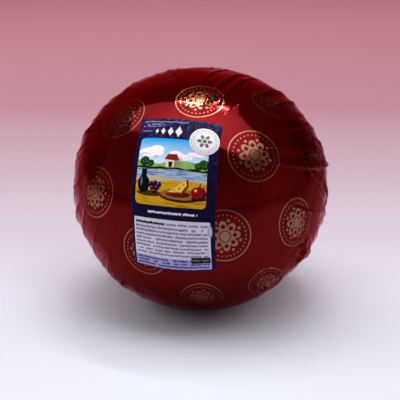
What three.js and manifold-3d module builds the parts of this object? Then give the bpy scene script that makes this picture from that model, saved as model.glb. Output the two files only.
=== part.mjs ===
// A ball of semi-hard cheese, shut in a pleated film wrap, with one printed label bent over its front.
// Millimetres and degrees. +Z is up, the label faces -Y, and +X is to the right of someone facing it.
// The ball and its wrap can't be seen into, so they are one solid: nodes are wrapped_cheese and label.
import * as THREE from "three";
import { mergeVertices } from "three/addons/utils/BufferGeometryUtils.js";
import Module from "manifold-3d";

// The cheese: a round waist, and two poles that are a little flattened
const WAIST_RADIUS = 73.9;
const POLE_RADIUS = 67.6;
const FULLNESS = 2.16; // exponent of the section through the poles: 2 is an ellipse, more is boxier
const FORWARD_LEAN = 15; // the upper pole leans this far from +Z towards -Y
const CENTRE_HEIGHT = 67.3; // the middle of the waist, above the flat spot that the ball rests on

// Places where the ball is slacker than its ideal shape: direction, depth and angular spread
const DENTS = [
  { azimuth: -17, elevation: -41, depth: 1.6, spread: 15 },
  { azimuth: -168, elevation: -32, depth: 0.7, spread: 20 },
  { azimuth: 64, elevation: 28, depth: 0.8, spread: 22 },
  { azimuth: 118, elevation: 5, depth: 0.6, spread: 26 },
];

// The film: smooth round its front, pleated over the rim and gathered at the lower back
const FILM_RISE = 38; // the smooth middle of the film faces this far above -Y
const PLEATS = 24;
const PLEAT_JITTER = 0.7; // how unevenly the pleats are spaced, as a share of their pitch
const PLEAT_START = 70; // from the middle of the film
const PLEAT_START_SPREAD = 30;
const PLEAT_RUN = 34; // over which a pleat grows to its full height
const PLEAT_HEIGHT = 1.5;
const PLEAT_HEIGHT_LEAST = 0.55; // the lowest pleat, as a share of that height
const PLEAT_HEIGHT_RANGE = 0.9;
const PLEAT_WIDTH = 12;
const PLEAT_EDGE = 4.6; // over which its folded edge drops back to the ball
const PLEAT_WIDTH_SHARE = 0.8; // the most of its pitch that a pleat's width and its edge take up
const PLEAT_EDGE_SHARE = 0.3;
const PLEAT_DRIFT = 0.3; // how far a pleat wanders sideways, for each unit it runs out
const PLEATS_TURNED_BACK = 0.35; // share of the pleats that are folded the other way
const CROWDED_HEIGHT = 0.25; // share of a pleat's height that is left where they all meet
const EARLY_PLEATS = [
  { turn: 48, start: 24 },
  { turn: 77, start: 20 },
  { turn: 161, start: 55 },
  { turn: 225, start: 70 },
  { turn: 324, start: 68 },
];
const EARLY_PLEAT_HEIGHT = 0.9;
const CALM_TURN = 270; // the film is drawn tight straight down, so pleats start later there
const CALM_SPREAD = 40;
const CALM_DELAY = 38;

// The gather: pleats wind up into a tuft of film, pressed flat against the ball
const GATHER_START = 150;
const GATHER_TWIST = 75; // how far the pleats wind round from there to the end of the film
const TUFT_RADIUS = 12;
const TUFT_HEIGHT = 2.6;
const TUFT_SHOULDER = 5;
const TUFT_HOLE_RADIUS = 3;
const TUFT_HOLE_DEPTH = 1.4;

// The label: an upright printed rectangle, bent over the ball like a strip
const LABEL_WIDTH = 46;
const LABEL_TAPER = 0.0005; // for each mm up it is wider by this share: it is drawn in towards its foot
const LABEL_HEIGHT = 88;
const LABEL_CORNER_RADIUS = 2;
const LABEL_CORNER_ANGLES = [0, 30, 60]; // of the rows that divide its round corners
const LABEL_AZIMUTH = -101.9;
const LABEL_ELEVATION = 14;
const LABEL_TURN = 0.7;
const LABEL_SLANT = -0.04; // rise of its top and bottom edges over its width
const LABEL_GAP = 0.3;
const LABEL_THICKNESS = 0.3;

// How finely the surfaces are divided
const BALL_SECTORS = 96;
const BALL_RINGS = 38;
const LABEL_COLUMNS = 10;
const LABEL_ROWS = 22;
const MERGE_DISTANCE = 1e-4; // points closer than this are one point

const RAD = Math.PI / 180;
const TURN = 2 * Math.PI;

// ---- Small helpers ----

const smooth = THREE.MathUtils.smoothstep;

// A fixed scatter between 0 and 1 for member i of a row of pleats, with another row for each salt
function scatter(i, salt) {
  const value = Math.sin(i * 12.9898 + salt * 78.233) * 43758.5453;
  return value - Math.floor(value);
}

// The unit vector at an azimuth (from +X towards +Y) and an elevation
function direction(azimuth, elevation) {
  const level = Math.cos(elevation * RAD);
  const x = level * Math.cos(azimuth * RAD);
  const y = level * Math.sin(azimuth * RAD);
  return new THREE.Vector3(x, y, Math.sin(elevation * RAD));
}

// An angle brought to between minus half a turn and plus half a turn
function wrapAngle(angle) {
  return angle - TURN * Math.round(angle / TURN);
}

// ---- The ball's own shape ----

const lean = FORWARD_LEAN * RAD;
const poleAxis = new THREE.Vector3(0, -Math.sin(lean), Math.cos(lean));
const dents = DENTS.map((dent) => ({ ...dent, towards: direction(dent.azimuth, dent.elevation) }));

// The distance from the ball's centre to the cheese under the film, along a unit vector
function cheeseRadius(along) {
  const high = Math.abs(along.dot(poleAxis));
  const wide = Math.sqrt(Math.max(0, 1 - high * high));
  const fullness = (wide / WAIST_RADIUS) ** FULLNESS + (high / POLE_RADIUS) ** FULLNESS;
  let radius = fullness ** (-1 / FULLNESS);
  for (const dent of dents) {
    const away = along.angleTo(dent.towards) / (dent.spread * RAD);
    radius -= dent.depth * Math.exp(-away * away);
  }
  return radius;
}

// ---- The film's relief ----

const rise = FILM_RISE * RAD;
const filmFront = new THREE.Vector3(0, -Math.cos(rise), Math.sin(rise));
const filmUp = new THREE.Vector3(0, Math.sin(rise), Math.cos(rise));

// Every pleat: where it lies round the film's middle, where it starts, and which way it is folded
function allPleats() {
  const pleats = [];
  for (let i = 0; i < PLEATS; i += 1) {
    const turn = ((i + PLEAT_JITTER * (scatter(i, 1) - 0.5)) / PLEATS) * TURN;
    const fromCalm = wrapAngle(turn - CALM_TURN * RAD) / (CALM_SPREAD * RAD);
    const delay = CALM_DELAY * Math.exp(-fromCalm * fromCalm);
    pleats.push({
      turn,
      start: (PLEAT_START + delay + PLEAT_START_SPREAD * (scatter(i, 2) - 0.5)) * RAD,
      height: PLEAT_HEIGHT * (PLEAT_HEIGHT_LEAST + PLEAT_HEIGHT_RANGE * scatter(i, 3)),
      side: scatter(i, 4) > PLEATS_TURNED_BACK ? 1 : -1,
      drift: PLEAT_DRIFT * (scatter(i, 5) - 0.5),
    });
  }
  EARLY_PLEATS.forEach((pleat, i) => {
    pleats.push({
      turn: pleat.turn * RAD,
      start: pleat.start * RAD,
      height: EARLY_PLEAT_HEIGHT,
      side: i % 2 ? -1 : 1,
      drift: 0,
    });
  });
  return pleats;
}

const pleats = allPleats();

// Across a pleat: it rises over its width, then drops at its folded edge
function pleatSection(across, width, edge) {
  return smooth(across, -width, 0) * (1 - smooth(across, 0, edge));
}

// How far the film stands out, where "out" is the angle from its middle and "turn" goes round it
function filmRelief(out, turn) {
  const roundabout = WAIST_RADIUS * Math.sin(out);
  const pitch = (TURN * roundabout) / PLEATS;
  const width = Math.min(PLEAT_WIDTH, PLEAT_WIDTH_SHARE * pitch);
  const edge = Math.min(PLEAT_EDGE, PLEAT_EDGE_SHARE * pitch);
  const crowding = Math.min(1, pitch / PLEAT_WIDTH + CROWDED_HEIGHT);
  const wound = Math.max(0, out / RAD - GATHER_START) / (180 - GATHER_START);
  const winding = GATHER_TWIST * RAD * wound * wound;
  let height = 0;
  for (const pleat of pleats) {
    const grown = smooth(out, pleat.start, pleat.start + PLEAT_RUN * RAD);
    if (grown > 0) {
      const middle = pleat.turn + pleat.drift * (out - pleat.start) + winding;
      const across = pleat.side * wrapAngle(turn - middle) * roundabout;
      height = Math.max(height, pleat.height * grown * crowding * pleatSection(across, width, edge));
    }
  }
  const fromEnd = WAIST_RADIUS * (Math.PI - out);
  const tuft = TUFT_HEIGHT * (1 - smooth(fromEnd, TUFT_RADIUS, TUFT_RADIUS + TUFT_SHOULDER));
  const hole = TUFT_HOLE_DEPTH * (1 - smooth(fromEnd, 0, TUFT_HOLE_RADIUS));
  return height + tuft - hole;
}

// The point of the wrapped ball's surface along a unit vector, lifted off it by a height
function onBall(along, lift = 0) {
  const out = along.angleTo(filmFront);
  const turn = Math.atan2(along.dot(filmUp), along.x);
  return along.clone().multiplyScalar(cheeseRadius(along) + filmRelief(out, turn) + lift);
}

// ---- Solids ----

// A closed mesh from points and triangles, as a geometry with its shared points merged
function closedGeometry(points, triangles) {
  const geometry = new THREE.BufferGeometry().setFromPoints(points);
  geometry.setIndex(triangles);
  return mergeVertices(geometry, MERGE_DISTANCE);
}

// The ball: rings round the film's middle, closed by a fan at the middle and one at the gather
function ballGeometry() {
  const points = [onBall(filmFront)];
  for (let ring = 1; ring < BALL_RINGS; ring += 1) {
    const out = (Math.PI * ring) / BALL_RINGS;
    for (let sector = 0; sector < BALL_SECTORS; sector += 1) {
      const turn = (TURN * sector) / BALL_SECTORS;
      const along = filmFront.clone().multiplyScalar(Math.cos(out));
      along.addScaledVector(new THREE.Vector3(1, 0, 0), Math.sin(out) * Math.cos(turn));
      along.addScaledVector(filmUp, Math.sin(out) * Math.sin(turn));
      points.push(onBall(along.normalize()));
    }
  }
  points.push(onBall(filmFront.clone().negate()));

  const triangles = [];
  const last = points.length - 1;
  const at = (ring, sector) => 1 + (ring - 1) * BALL_SECTORS + (sector % BALL_SECTORS);
  for (let sector = 0; sector < BALL_SECTORS; sector += 1) {
    triangles.push(0, at(1, sector), at(1, sector + 1));
    for (let ring = 1; ring < BALL_RINGS - 1; ring += 1) {
      triangles.push(at(ring, sector), at(ring + 1, sector), at(ring + 1, sector + 1));
      triangles.push(at(ring, sector), at(ring + 1, sector + 1), at(ring, sector + 1));
    }
    triangles.push(at(BALL_RINGS - 1, sector), last, at(BALL_RINGS - 1, sector + 1));
  }
  return closedGeometry(points, triangles);
}

const labelFacing = direction(LABEL_AZIMUTH, LABEL_ELEVATION);
const level = new THREE.Vector3(-labelFacing.y, labelFacing.x, 0).normalize();
const labelAcross = level.clone().applyAxisAngle(labelFacing, LABEL_TURN * RAD);
const labelUp = new THREE.Vector3().crossVectors(labelFacing, labelAcross);
const labelBend = cheeseRadius(labelFacing);

// The point that is "across" and "up" from the label's middle, measured along its surface
function onLabel(across, up, lift) {
  const climb = (up + LABEL_SLANT * across) / labelBend;
  const swing = across / labelBend;
  const along = labelFacing.clone().multiplyScalar(Math.cos(climb));
  along.addScaledVector(labelUp, Math.sin(climb));
  along.multiplyScalar(Math.cos(swing)).addScaledVector(labelAcross, Math.sin(swing));
  return onBall(along.normalize(), lift);
}

// Half the label's width at a height, which tapers and shrinks round its corners
function labelHalfWidth(up) {
  const past = Math.max(0, Math.abs(up) - (LABEL_HEIGHT / 2 - LABEL_CORNER_RADIUS));
  const drop = LABEL_CORNER_RADIUS - Math.sqrt(LABEL_CORNER_RADIUS ** 2 - past ** 2);
  return (LABEL_WIDTH / 2) * (1 + LABEL_TAPER * up) - drop;
}

// Heights of the label's rows: even between the corners, and by equal angles round them
function labelRowHeights() {
  const straight = LABEL_HEIGHT / 2 - LABEL_CORNER_RADIUS;
  const corner = LABEL_CORNER_ANGLES.map((angle) => straight + LABEL_CORNER_RADIUS * Math.cos(angle * RAD));
  const rows = corner.map((height) => -height);
  for (let row = 0; row <= LABEL_ROWS; row += 1) {
    rows.push(-straight + (2 * straight * row) / LABEL_ROWS);
  }
  return rows.concat(corner.reverse());
}

// The label: an inner and an outer skin over one grid, joined round their edge
function labelGeometry() {
  const heights = labelRowHeights();
  const points = [];
  for (const lift of [LABEL_GAP, LABEL_GAP + LABEL_THICKNESS]) {
    for (const up of heights) {
      for (let column = 0; column <= LABEL_COLUMNS; column += 1) {
        const across = labelHalfWidth(up) * ((2 * column) / LABEL_COLUMNS - 1);
        points.push(onLabel(across, up, lift));
      }
    }
  }

  const rows = heights.length - 1;
  const skin = points.length / 2;
  const at = (row, column) => row * (LABEL_COLUMNS + 1) + column;
  const triangles = [];
  const square = (a, b, c, d) => triangles.push(a, b, c, a, c, d);
  for (let row = 0; row < rows; row += 1) {
    for (let column = 0; column < LABEL_COLUMNS; column += 1) {
      const [a, b] = [at(row, column), at(row, column + 1)];
      const [c, d] = [at(row + 1, column + 1), at(row + 1, column)];
      square(skin + a, skin + b, skin + c, skin + d);
      square(a, d, c, b);
    }
    const [left, leftNext] = [at(row, 0), at(row + 1, 0)];
    const [right, rightNext] = [at(row, LABEL_COLUMNS), at(row + 1, LABEL_COLUMNS)];
    square(left, skin + left, skin + leftNext, leftNext);
    square(skin + right, right, rightNext, skin + rightNext);
  }
  for (let column = 0; column < LABEL_COLUMNS; column += 1) {
    const [low, lowNext] = [at(0, column), at(0, column + 1)];
    const [high, highNext] = [at(rows, column), at(rows, column + 1)];
    square(low, lowNext, skin + lowNext, skin + low);
    square(skin + high, skin + highNext, highNext, high);
  }
  return closedGeometry(points, triangles);
}

// ---- Cutting the flat spot ----

const wasm = await Module();
wasm.setup();

// A geometry as a solid that can be cut
function solidOf(geometry) {
  const vertProperties = new Float32Array(geometry.getAttribute("position").array);
  const triVerts = new Uint32Array(geometry.index.array);
  return new wasm.Manifold(new wasm.Mesh({ numProp: 3, vertProperties, triVerts }));
}

// A solid as a geometry again
function geometryOf(solid) {
  const { vertProperties, triVerts } = solid.getMesh();
  const geometry = new THREE.BufferGeometry();
  geometry.setAttribute("position", new THREE.BufferAttribute(vertProperties, 3));
  geometry.setIndex(new THREE.BufferAttribute(triVerts, 1));
  geometry.computeVertexNormals();
  return geometry;
}

// What is left of a geometry above the plane that lies CENTRE_HEIGHT under the ball's centre
function restOnFlat(geometry) {
  const side = 4 * WAIST_RADIUS;
  const below = new THREE.BoxGeometry(side, side, side);
  below.translate(0, 0, -CENTRE_HEIGHT - side / 2);
  below.deleteAttribute("normal");
  below.deleteAttribute("uv");
  return geometryOf(solidOf(geometry).subtract(solidOf(mergeVertices(below))));
}

// ---- The part ----

const filmMaterial = new THREE.MeshStandardMaterial({ color: 0x7d0c16, roughness: 0.22, metalness: 0.15 });
const labelMaterial = new THREE.MeshStandardMaterial({ color: 0x35317a, roughness: 0.35, metalness: 0 });

const wrappedCheese = new THREE.Mesh(restOnFlat(ballGeometry()), filmMaterial);
wrappedCheese.name = "wrapped_cheese";

const label = new THREE.Mesh(labelGeometry(), labelMaterial);
label.name = "label";

// The origin is under the middle of the whole, on the plane of the flat spot
const part = new THREE.Group();
part.add(wrappedCheese, label);
const middle = new THREE.Box3().setFromObject(part).getCenter(new THREE.Vector3());
part.position.set(-middle.x, -middle.y, CENTRE_HEIGHT);

export default part;
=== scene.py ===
import functools
import math
from typing import NamedTuple

import bpy
import numpy as np
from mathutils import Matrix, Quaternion, Vector


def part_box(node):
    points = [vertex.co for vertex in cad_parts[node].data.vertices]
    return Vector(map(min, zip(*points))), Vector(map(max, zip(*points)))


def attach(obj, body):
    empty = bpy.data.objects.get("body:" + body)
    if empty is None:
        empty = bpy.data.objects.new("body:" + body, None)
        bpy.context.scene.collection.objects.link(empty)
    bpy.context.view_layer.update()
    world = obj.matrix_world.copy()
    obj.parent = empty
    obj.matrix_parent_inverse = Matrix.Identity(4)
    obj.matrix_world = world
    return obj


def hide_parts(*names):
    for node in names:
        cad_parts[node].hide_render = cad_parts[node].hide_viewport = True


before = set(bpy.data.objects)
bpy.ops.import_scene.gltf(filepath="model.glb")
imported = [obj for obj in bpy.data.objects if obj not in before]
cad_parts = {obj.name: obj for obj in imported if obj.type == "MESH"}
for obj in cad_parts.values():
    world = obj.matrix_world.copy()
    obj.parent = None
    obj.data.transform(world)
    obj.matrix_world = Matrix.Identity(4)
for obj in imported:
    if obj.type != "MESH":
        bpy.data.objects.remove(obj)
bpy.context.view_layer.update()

# A ball of cheese in a glossy printed film, with a label on its front.
# Shapes are worked out in millimetres from the ball's centre, with +Z up, and stored in metres.
# "out" is the angle from the middle of the film, and "turn" goes round that middle, from +X upwards.

MM = 0.001
RAD = math.pi / 180
TURN = 2 * math.pi

# ---- The ball, as the CAD part has it ----

WAIST_RADIUS = 73.9
POLE_RADIUS = 67.6
FULLNESS = 2.16
FORWARD_LEAN = 15
CENTRE_HEIGHT = 67.3
DENTS = [
    # azimuth, elevation, depth, spread
    (-17, -41, 1.6, 15),
    (-168, -32, 0.7, 20),
    (64, 28, 0.8, 22),
    (118, 5, 0.6, 26),
]
FILM_RISE = 38
CALM_TURN = 270  # the side on which the film's folds start later
CALM_SPREAD = 40
CALM_DELAY = 38
GATHER_START = 150
GATHER_TWIST = 75
TUFT_RADIUS = 12
TUFT_HEIGHT = 2.6
TUFT_SHOULDER = 5
TUFT_HOLE_RADIUS = 3
TUFT_HOLE_DEPTH = 1.4
LABEL_WIDTH = 46
LABEL_TAPER = 0.0005
LABEL_HEIGHT = 88
LABEL_CORNER_RADIUS = 2
LABEL_AZIMUTH = -101.9
LABEL_ELEVATION = 14
LABEL_TURN = 0.7
LABEL_SLANT = -0.04
LABEL_CAD_LIFT = 0.6
LABEL_CAD_COLUMNS = 10
LABEL_CAD_ROWS = 22
LABEL_CAD_CORNER_ANGLES = [0, 30, 60]

# ---- What only the looks have ----

CREASES = [
    # turn and out where it starts, turn and out where it ends, height, film hidden in it (degrees)
    (89, 8, 65, 64, 1.4, 1.5),
    (70, 15, 60, 64, 1, 1),
    (51, 14, 45, 68, 1.7, 3),
    (36, 40, 38, 74, 0.9, 1),
    (10, 28, 25, 78, 1, 1.5),
    (17, 36, 32, 74, 0.8, 1),
    (-2, 28, 10, 80, 1.2, 1),
    (-18, 25, 12, 92, 1.6, 1.5),
    (-32, 46, -14, 84, 0.7, 1),
    (-68, 56, -54, 84, 0.7, 1),
    (-44, 58, -36, 94, 0.8, 1),
    (153, 56, 164, 84, 0.8, 1),
    (138, 56, 120, 76, 0.6, 0.5),
    (186, 62, 184, 92, 0.4, 1),
    (203, 70, 206, 95, 0.4, 0.5),
    (224, 70, 226, 96, 0.8, 1.5),
    (233, 82, 234, 98, 0.6, 1),
    (324, 60, 322, 96, 0.7, 1.5),
    (310, 72, 306, 100, 0.5, 1),
    (92, 32, 75, 66, 0.9, 0.5),
    (104, 40, 108, 72, 0.35, 0.5),
    (306, 46, 319, 80, 0.7, 0.5),
    (298, 56, 311, 86, 0.6, 0.5),
    (128, 46, 131, 76, 0.4, 0.5),
]
CREASE_WIDTH = 6
CREASE_EDGE = 1.1
FOLD_CREST = 1.7
CREASE_GROOVE = 0.35
GROOVE_PLACE = 1.5  # in widths of the crease's edge
CREASE_GROWN = 0.28  # by this share of its length a crease has its full height
CREASE_FADE = (0.7, 1.2)
CREASE_REACH = (-0.2, 1.3)
CRUMPLES = [
    # turn and out of the middle, spread, height, pitch, seed
    (321, 78, 6, 1.9, 11, 11),
    (320, 82, 4, 1.3, 6, 16),
    (303, 82, 7, 1.3, 9, 12),
    (229, 87, 7, 1.0, 12, 13),
    (165, 80, 9, 0.5, 12, 14),
    (8, 66, 14, 0.3, 12, 15),
]
CRUMPLE_REACH = 3
CRUMPLE_SHARPNESS = 2.2
WAVES = [
    # pitch, height, seed
    (34, 0.8, 1),
    (14, 0.3, 2),
]
WAVE_LEAST = 0.2
WAVE_GROWTH = 0.25
WAVE_ZONE = (40, 100)


class Folds(NamedTuple):
    """A row of folds round the film."""

    count: int
    jitter: float  # how unevenly they are spaced
    start: float  # the mean "out" at which they start
    start_spread: float
    run: float  # they grow to their full height over this
    height: float
    least: float  # a fold has at least this share of the height
    variety: float  # and up to this share more
    turned_back: float  # this share of them is folded the other way
    width: float
    edge: float
    salt: int


# The CAD part has the pleats too, with wider edges
PLEATS = Folds(24, 0.7, 70, 30, 34, 1.5, 0.55, 0.9, 0.35, 12, 1.5, salt=1)
TUCKS = Folds(96, 0.8, 61.2, 26, 18, 0.7, 0.5, 1.0, 0.5, 3.2, 0.7, salt=6)
FOLD_DRIFT = 0.3
FOLD_WIDTH_SHARE = 0.8  # of the pitch, at most
FOLD_EDGE_SHARE = 0.3
CROWDED_HEIGHT = 0.25

FILM_SECTORS = 640
FILM_RINGS = 152
RING_ZONES = [
    # from, to, and how much closer the rings of the mesh are there
    (56, 104, 1.8),
    (160, 180, 1.2),
]
RING_ZONE_EASE = 8
SHEET_RADIUS = 71  # millimetres of film to one radian of "out"
CUBE_MAP_MARGIN = 0.965
LEAST_SINE = 1e-4  # keeps widths above nothing at the film's middle and at its gathered end


def smooth(value, low, high):
    part = np.clip((value - low) / (high - low), 0, 1)
    return part * part * (3 - 2 * part)


def scatter(i, salt):
    """A fixed number from 0 to 1 for member i of a row. Each salt has its own row."""
    value = math.sin(i * 12.9898 + salt * 78.233) * 43758.5453
    return value - math.floor(value)


def wrap(angle):
    return angle - TURN * np.round(angle / TURN)


def direction(azimuth, elevation):
    level = math.cos(elevation * RAD)
    x = level * math.cos(azimuth * RAD)
    y = level * math.sin(azimuth * RAD)
    return np.array([x, y, math.sin(elevation * RAD)])


POLE_AXIS = direction(-90, 90 - FORWARD_LEAN)
FILM_FRONT = np.array([0, -math.cos(FILM_RISE * RAD), math.sin(FILM_RISE * RAD)])
FILM_UP = np.array([0, math.sin(FILM_RISE * RAD), math.cos(FILM_RISE * RAD)])
FILM_ACROSS = np.array([1.0, 0, 0])


def swung(angle, first, second):
    """Unit vectors at an angle from the first one towards the second."""
    return np.cos(angle)[..., None] * first + np.sin(angle)[..., None] * second


def film_along(out, turn):
    """Unit vectors to the places at "out" and "turn"."""
    return swung(out, FILM_FRONT, swung(turn, FILM_ACROSS, FILM_UP))


def angle_between(along, towards):
    return np.arccos(np.clip(along @ towards, -1, 1))


def cheese_radius(along):
    """From the ball's centre to the cheese under the film, along unit vectors."""
    high = np.abs(along @ POLE_AXIS)
    wide = np.sqrt(np.maximum(0, 1 - high * high))
    fullness = (wide / WAIST_RADIUS) ** FULLNESS + (high / POLE_RADIUS) ** FULLNESS
    radius = fullness ** (-1 / FULLNESS)
    for azimuth, elevation, depth, spread in DENTS:
        away = angle_between(along, direction(azimuth, elevation)) / (spread * RAD)
        radius = radius - depth * np.exp(-away * away)
    return radius


def ripple(points, wavelength, seed, waves=28):
    """An even field of bumps about a wavelength wide, mostly between -1 and 1."""
    rng = np.random.default_rng(seed)
    total = np.zeros(points.shape[:-1])
    for _ in range(waves):
        heading = rng.normal(size=3)
        heading /= np.linalg.norm(heading)
        pitch = wavelength * rng.uniform(0.7, 1.5)
        total += np.cos(points @ heading * (TURN / pitch) + rng.uniform(0, TURN))
    return total / math.sqrt(waves)


# ---- The film's pleats, creases and waves ----


def placed_folds(kind):
    """The turn, start, height, side and drift of each fold in a row."""
    folds = []
    for i in range(kind.count):
        chance = [scatter(i, kind.salt + n) for n in range(5)]
        turn = (i + kind.jitter * (chance[0] - 0.5)) / kind.count * TURN
        from_calm = wrap(turn - CALM_TURN * RAD) / (CALM_SPREAD * RAD)
        delay = CALM_DELAY * math.exp(-from_calm * from_calm)
        start = (kind.start + delay + kind.start_spread * (chance[1] - 0.5)) * RAD
        height = kind.height * (kind.least + kind.variety * chance[2])
        side = 1 if chance[3] > kind.turned_back else -1
        folds.append((turn, start, height, side, FOLD_DRIFT * (chance[4] - 0.5)))
    return folds


PLEAT_LIST = placed_folds(PLEATS)
TUCK_LIST = placed_folds(TUCKS)


def fold_section(across, width, edge):
    """Across a fold: the film rises over its width to a crest, then drops at its folded edge."""
    rise = np.clip(1 + across / width, 0, 1) ** FOLD_CREST
    return rise * (1 - smooth(across, 0, edge))


def winding(out):
    """How far the pleats have wound round on their way to the gather."""
    wound = np.maximum(0, out / RAD - GATHER_START) / (180 - GATHER_START)
    return GATHER_TWIST * RAD * wound * wound


def fold_place(kind, fold, out):
    """The turn of a fold at each "out", and how far the fold has grown there."""
    turn, start, _, _, drift = fold
    grown = smooth(out, start, start + kind.run * RAD)
    return turn + drift * (out - start) + winding(out), grown


def fold_height(out, turn, kind, folds):
    roundabout = WAIST_RADIUS * np.maximum(np.sin(out), LEAST_SINE)
    pitch = TURN * roundabout / kind.count
    width = np.minimum(kind.width, FOLD_WIDTH_SHARE * pitch)
    edge = np.minimum(kind.edge, FOLD_EDGE_SHARE * pitch)
    crowding = np.minimum(1, pitch / PLEATS.width + CROWDED_HEIGHT)
    height = np.zeros_like(out)
    for fold in folds:
        _, _, high, side, _ = fold
        place, grown = fold_place(kind, fold, out)
        across = side * wrap(turn - place) * roundabout
        height = np.maximum(height, high * grown * crowding * fold_section(across, width, edge))
    return height


def crease_place(course, out):
    """The turn of a crease at each "out", and how far the crease has grown there."""
    turn_start, out_start, turn_end, out_end = course
    part = (out / RAD - out_start) / (out_end - out_start)
    grown = smooth(part, 0, CREASE_GROWN) * (1 - smooth(part, *CREASE_FADE))
    return (turn_start + (turn_end - turn_start) * np.clip(part, *CREASE_REACH)) * RAD, grown


def crease_height(out, turn):
    roundabout = WAIST_RADIUS * np.sin(out)
    height = np.zeros_like(out)
    groove = np.zeros_like(out)
    for i, (*course, high, _) in enumerate(CREASES):
        place, grown = crease_place(course, out)
        across = (-1 if i % 2 else 1) * wrap(turn - place) * roundabout
        height = np.maximum(height, high * grown * fold_section(across, CREASE_WIDTH, CREASE_EDGE))
        beside = across / CREASE_EDGE - GROOVE_PLACE
        groove = np.maximum(groove, CREASE_GROOVE * high * grown * np.exp(-beside * beside))
    return height - groove


def ridges(points, pitch, seed, sharpness):
    """Sharp ridges between rounder hollows, from 0 to 1."""
    return 1 - np.minimum(1, sharpness * np.abs(ripple(points, pitch, seed)))


def crumple_height(along, out):
    """Small crushed patches, where the film bunches at the lower right and left of the rim."""
    height = np.zeros_like(out)
    for middle_turn, middle_out, spread, high, pitch, seed in CRUMPLES:
        middle = film_along(middle_out * RAD, middle_turn * RAD)
        away = angle_between(along, middle) / (spread * RAD)
        near = away < CRUMPLE_REACH
        crushed = ridges(along[near] * WAIST_RADIUS, pitch, seed, CRUMPLE_SHARPNESS)
        height[near] += high * np.exp(-away[near] ** 2) * crushed
    return height


def wave_height(along, out):
    """The slack of the film over the cheese, more of it towards the pleats."""
    points = along * WAIST_RADIUS
    zone_start, zone_end = WAVE_ZONE
    slack = WAVE_LEAST + WAVE_GROWTH * smooth(out, zone_start * RAD, zone_end * RAD)
    return slack * sum(high * ripple(points, pitch, seed) for pitch, high, seed in WAVES)


def tuft_height(along, out):
    from_end = WAIST_RADIUS * (math.pi - out)
    tuft = TUFT_HEIGHT * (1 - smooth(from_end, TUFT_RADIUS, TUFT_RADIUS + TUFT_SHOULDER))
    hole = TUFT_HOLE_DEPTH * (1 - smooth(from_end, 0, TUFT_HOLE_RADIUS))
    return tuft - hole


def film_relief(along, out, turn):
    pleats = fold_height(out, turn, PLEATS, PLEAT_LIST)
    small = fold_height(out, turn, TUCKS, TUCK_LIST)
    folds = np.maximum(pleats, crease_height(out, turn)) + small
    return folds + crumple_height(along, out) + wave_height(along, out) + tuft_height(along, out)


def on_ball(along, lift=0.0):
    """Points of the film's outside along unit vectors, lifted off it."""
    out = angle_between(along, FILM_FRONT)
    turn = np.arctan2(along @ FILM_UP, along[..., 0])
    return along * (cheese_radius(along) + film_relief(along, out, turn) + lift)[..., None]


def sheet_turn(out, turn):
    """The turn on the flat sheet of film: a fold hides film, so the print jumps there."""
    spare = 1 - np.sin(out) / out
    hiding = [(*fold_place(PLEATS, fold, out), spare * TURN / PLEATS.count) for fold in PLEAT_LIST]
    hiding += [(*crease_place(course, out), hidden * RAD) for *course, _, hidden in CREASES]
    angle = np.array(turn, dtype=float)
    for place, grown, hidden in hiding:
        angle -= grown * hidden * (np.mod((turn - place) / TURN, 1) - 0.5)
    return angle


# ---- Meshes ----


def mesh_piece(name, points, faces):
    mesh = bpy.data.meshes.new(name)
    mesh.from_pydata(points.tolist(), [], faces)
    mesh.update()
    mesh.shade_smooth()
    piece = bpy.data.objects.new(name, mesh)
    bpy.context.scene.collection.objects.link(piece)
    return piece


def set_uv(mesh, name, corners):
    layer = mesh.uv_layers.new(name=name)
    layer.data.foreach_set("uv", np.ascontiguousarray(corners, dtype=np.float32).ravel())


def read(items, name, width, kind):
    """A property of all of a mesh's vertices, corners or faces, as rows of an array."""
    values = np.empty(len(items) * width, dtype=kind)
    items.foreach_get(name, values)
    return values.reshape(-1, width)


def corner_vertices(mesh):
    return read(mesh.loops, "vertex_index", 1, np.int32)[:, 0]


LABEL_FACING = direction(LABEL_AZIMUTH, LABEL_ELEVATION)
LEVEL = np.array([-LABEL_FACING[1], LABEL_FACING[0], 0.0])
LEVEL /= np.linalg.norm(LEVEL)
LABEL_ACROSS = swung(LABEL_TURN * RAD, LEVEL, np.cross(LABEL_FACING, LEVEL))
LABEL_UP = np.cross(LABEL_FACING, LABEL_ACROSS)
LABEL_BEND = float(cheese_radius(LABEL_FACING[None])[0])


def label_along(across, up):
    """Unit vectors to the place on the ball that is "across" and "up" from the label's middle."""
    climb = (up + LABEL_SLANT * across) / LABEL_BEND
    along = swung(across / LABEL_BEND, swung(climb, LABEL_FACING, LABEL_UP), LABEL_ACROSS)
    return along / np.linalg.norm(along, axis=-1, keepdims=True)


def label_half_width(up):
    past = np.maximum(0, np.abs(up) - (LABEL_HEIGHT / 2 - LABEL_CORNER_RADIUS))
    drop = LABEL_CORNER_RADIUS - np.sqrt(np.maximum(0, LABEL_CORNER_RADIUS**2 - past**2))
    return LABEL_WIDTH / 2 * (1 + LABEL_TAPER * up) - drop


def part_shift():
    """From the ball's centre to the part's frame, in millimetres, by the place of the CAD label."""
    straight = LABEL_HEIGHT / 2 - LABEL_CORNER_RADIUS
    corner = straight + LABEL_CORNER_RADIUS * np.cos(np.array(LABEL_CAD_CORNER_ANGLES) * RAD)
    rows = np.linspace(-straight, straight, LABEL_CAD_ROWS + 1)
    up = np.concatenate([-corner, rows, corner[::-1]])[:, None]
    across = label_half_width(up) * np.linspace(-1, 1, LABEL_CAD_COLUMNS + 1)
    along = label_along(across, up + 0 * across)
    points = along * (cheese_radius(along) + LABEL_CAD_LIFT)[..., None]
    own = (points.min(axis=(0, 1)) + points.max(axis=(0, 1))) / 2
    low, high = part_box("label")
    cad = (np.array(low) + np.array(high)) / 2 / MM
    return np.array([cad[0] - own[0], cad[1] - own[1], CENTRE_HEIGHT])


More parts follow.
